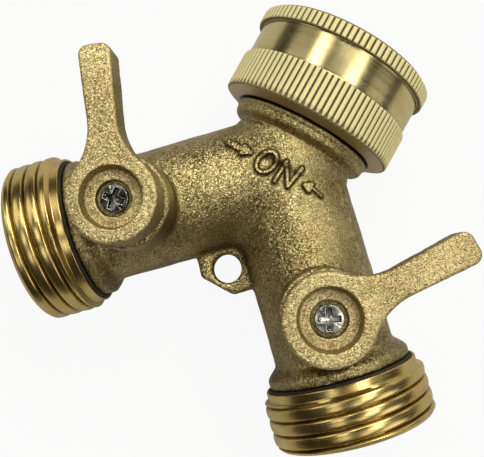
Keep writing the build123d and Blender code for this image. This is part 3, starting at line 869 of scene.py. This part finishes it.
# a point is needed if one of the four squares round it is kept
needed = kept.copy()
needed[1:] |= kept[:-1]
needed[:, 1:] |= kept[:, :-1]
needed[1:, 1:] |= kept[:-1, :-1]
straight_down, start_height, sunk = Vector((0, 0, -1)), 30, 0.5
number, verts, flank_shade_on = np.full(gx.shape, -1), [], []
for i, j in zip(*np.nonzero(needed)):
    above = junction + Vector((gx[i, j], gy[i, j], start_height)) * mm
    spot, normal, _, _ = casting_tree.ray_cast(above, straight_down)
    number[i, j] = len(verts)
    verts.append(spot + normal * (mark_height * rise[i, j] + ground[i, j]) * mm)
    verts.append(spot - normal * sunk * mm)
    flank_shade_on += [flank[i, j]] * 2
faces, rim_edges = [], {}
for i, j in zip(*np.nonzero(kept[:-1, :-1])):
    loop = [number[i, j], number[i + 1, j], number[i + 1, j + 1], number[i, j + 1]]
    faces += [loop, [v + 1 for v in reversed(loop)]]
    for a, b in zip(loop, loop[1:] + loop[:1]):
        rim_edges[(a, b)] = True
faces += [[a, a + 1, b + 1, b] for a, b in rim_edges if (b, a) not in rim_edges]
mark_mesh = bpy.data.meshes.new("on_mark")
mark_mesh.from_pydata(verts, [], [[int(v) for v in f] for f in faces])
mark_mesh.polygons.foreach_set("use_smooth", np.ones(len(mark_mesh.polygons), bool))
mark_mesh.attributes.new("flank", "FLOAT", "POINT").data.foreach_set("value", flank_shade_on)
mark_mesh.materials.append(letter_skin)
marks = bpy.data.objects.new("on_mark", mark_mesh)
bpy.context.collection.objects.link(marks)
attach(marks, "body")
print("raised marks:", len(mark_mesh.polygons), "faces")

# %% [markdown]
# ## Rubber, plastic and the hidden metal
#
# The CAD shapes of the rings, seats, balls and stems are right as they are, so they only get better
# materials: matt black rubber with a little dust, waxy white plastic, a bright plated ball and plain
# machined brass.

# %% Materials of the carried-over pieces


def plain_finish(name, colour, other, rough, size, depth, **shader):
    """Two close tones in soft clouds, with a matching roughness and a faint relief."""
    material, tree, main = new_material(name, **shader)
    where = own_coordinates(tree)
    clouds = noise(tree, where, size, 4.0, 0.6)
    tone = blend_colour(tree, spread(tree, clouds, 0.35, 0.65), colour, other)
    relief = bump(tree, noise(tree, where, size / 4, 3.0), depth)
    dress(tree, main, tone, spread(tree, clouds, 0.3, 0.7, *rough), relief)
    return material


rubber = plain_finish("black_rubber", (0.014, 0.012, 0.010), (0.045, 0.037, 0.028),
                      rough=(0.5, 0.75), size=0.8, depth=0.01)
dusty_rubber = plain_finish("dusty_rubber", (0.025, 0.020, 0.015), (0.07, 0.055, 0.038),
                            rough=(0.6, 0.85), size=0.7, depth=0.015)
plastic = plain_finish("white_seat", (0.78, 0.77, 0.72), (0.86, 0.85, 0.81),
                       rough=(0.3, 0.42), size=1.5, depth=0.004)
ball_plate = plain_finish("plated_ball", (0.74, 0.73, 0.71), (0.86, 0.85, 0.83),
                          rough=(0.05, 0.14), size=2.0, depth=0.002, Metallic=1.0)
machined = plain_finish("machined_brass", (0.72, 0.55, 0.24), (0.86, 0.70, 0.36),
                        rough=(0.22, 0.36), size=1.2, depth=0.006, Metallic=1.0)
spring = plain_finish("spring_steel", (0.42, 0.42, 0.43), (0.58, 0.58, 0.58),
                      rough=(0.22, 0.38), size=1.0, depth=0.004, Metallic=1.0)
FINISH_OF = {"hose_washer": rubber, "nut_retaining_ring": spring}
ON_EACH_SIDE = {"joint_ring": dusty_rubber, "stem_rings": rubber, "ball": ball_plate,
                "stem": machined, "inner_seat": plastic, "outer_seat": plastic,
                "thrust_washer": plastic}
for side in SIDES:
    FINISH_OF.update({f"{side}_{part}": finish for part, finish in ON_EACH_SIDE.items()})
for name, finish in FINISH_OF.items():
    for slot in frame["nodes"][name].material_slots:
        slot.material = finish
print(len(FINISH_OF), "carried-over pieces have their materials")

# %% [markdown]
# ## The paper floor
#
# The part lies on white paper. The sheet curls up far away at its rim, like a photographer's
# backdrop. To the camera it glows, so that it is white without strong lamps that would wash out the
# brass, and it still takes the part's shadow. In reflections it glows only a little, because the
# real paper under the part lies in the part's own shade.

# %% Paper floor
centre = (cad_box[0] + cad_box[1]) / 2
floor_height = cad_box[0].z - 0.05 * mm
# radius and rise of each ring, in metres
PAPER_RINGS = [(0.4, 0.0), (0.9, 0.0), (1.2, 0.03), (1.4, 0.10), (1.5, 0.22)]
glow_to_camera, glow_in_reflections = 0.93, 0.03
corners = np.linspace(0, 2 * math.pi, 96, endpoint=False)
n = len(corners)
PALE_FIBRE, GREY_FIBRE = (0.60, 0.59, 0.565), (0.54, 0.53, 0.505)
paper_points = [(centre.x + r * math.cos(a), centre.y + r * math.sin(a), floor_height + z)
                for r, z in PAPER_RINGS for a in corners]
paper_faces = [list(range(n))]
for k in range(len(PAPER_RINGS) - 1):
    paper_faces += [[k * n + i, k * n + (i + 1) % n, (k + 1) * n + (i + 1) % n, (k + 1) * n + i]
                    for i in range(n)]
paper_mesh = bpy.data.meshes.new("paper_floor")
paper_mesh.from_pydata(paper_points, [], paper_faces)
paper_material, tree, main = new_material("white_paper", Roughness=0.9)
fibres = noise(tree, own_coordinates(tree), 0.6, 4.0, 0.6)
tree.links.new(blend_colour(tree, fibres, GREY_FIBRE, PALE_FIBRE), main.inputs["Base Color"])
seen = node(tree, "LightPath").outputs
reflected = math_of(tree, "ADD", seen["Is Glossy Ray"], seen["Is Transmission Ray"])
glow_share = math_of(tree, "MAXIMUM",
                     math_of(tree, "MULTIPLY", seen["Is Camera Ray"], glow_to_camera),
                     math_of(tree, "MULTIPLY", reflected, glow_in_reflections))
glow = node(tree, "Emission", {"Color": (1, 1, 1, 1), "Strength": 1.0}).outputs[0]
mix = node(tree, "MixShader", {0: glow_share, 1: main.outputs[0], 2: glow})
tree.links.new(mix.outputs[0], tree.nodes["Material Output"].inputs["Surface"])
paper_mesh.materials.append(paper_material)
paper = bpy.data.objects.new("paper_floor", paper_mesh)
bpy.context.collection.objects.link(paper)
print("floor at", round(floor_height / mm, 2), "mm")

# %% [markdown]
# ## The light
#
# Metal shows its surroundings more than its own colour, so the place of each soft panel was found
# from the reflections: the nut's waist has two pale bands with a dark gap between them, where
# whoever took the picture stood in the light, and the nipples show one broad band and one narrow
# one. The window is the strongest, the walls give the sides some light, and the ceiling is weak.

# %% Lights
lamp_distance = 0.6                           # metres, as the panels' sizes; power is in watts
lamp_colour = (1.0, 0.98, 0.95)
ROOM_SHADE = (0.03, 0.027, 0.021, 1)
PANELS = {  # name: (direction from the part, width, length, power)
    "window": ((0.08, 0.62, 0.78), 0.26, 0.22, 1.32),
    "window_left": ((-0.38, 0.64, 0.66), 0.22, 0.22, 0.60),
    "left_panel": ((-0.43, 0.30, 0.85), 0.10, 0.20, 0.26),
    "near_panel": ((0.42, 0.20, 0.885), 0.20, 0.16, 0.46),
    "left_wall": ((-0.80, 0.02, 0.58), 0.34, 0.30, 0.46),
    "right_wall": ((0.88, 0.02, 0.46), 0.34, 0.30, 0.46),
    "low_window": ((0.30, 0.90, 0.28), 0.40, 0.20, 0.24),
    "ceiling_left": ((-0.30, -0.20, 0.93), 0.16, 0.16, 0.17),
    "ceiling_near": ((0.02, -0.48, 0.88), 0.16, 0.16, 0.13),
    "ceiling_right": ((0.42, -0.14, 0.90), 0.16, 0.16, 0.12)}
world = bpy.data.worlds.new("room")
world.use_nodes = True
world.node_tree.nodes["Background"].inputs["Color"].default_value = ROOM_SHADE
bpy.context.scene.world = world
for name, (toward, width, length, power) in PANELS.items():
    lamp = bpy.data.objects.new(name, bpy.data.lights.new(name, "AREA"))
    lamp.data.shape = "RECTANGLE"
    lamp.data.size, lamp.data.size_y = width, length
    lamp.data.energy, lamp.data.color = power, lamp_colour
    toward = Vector(toward).normalized()
    facing = toward.to_track_quat("Z", "Y").to_matrix().to_4x4()
    lamp.matrix_world = Matrix.Translation(centre + toward * lamp_distance) @ facing
    bpy.context.collection.objects.link(lamp)
bpy.context.scene.view_settings.view_transform = "Standard"
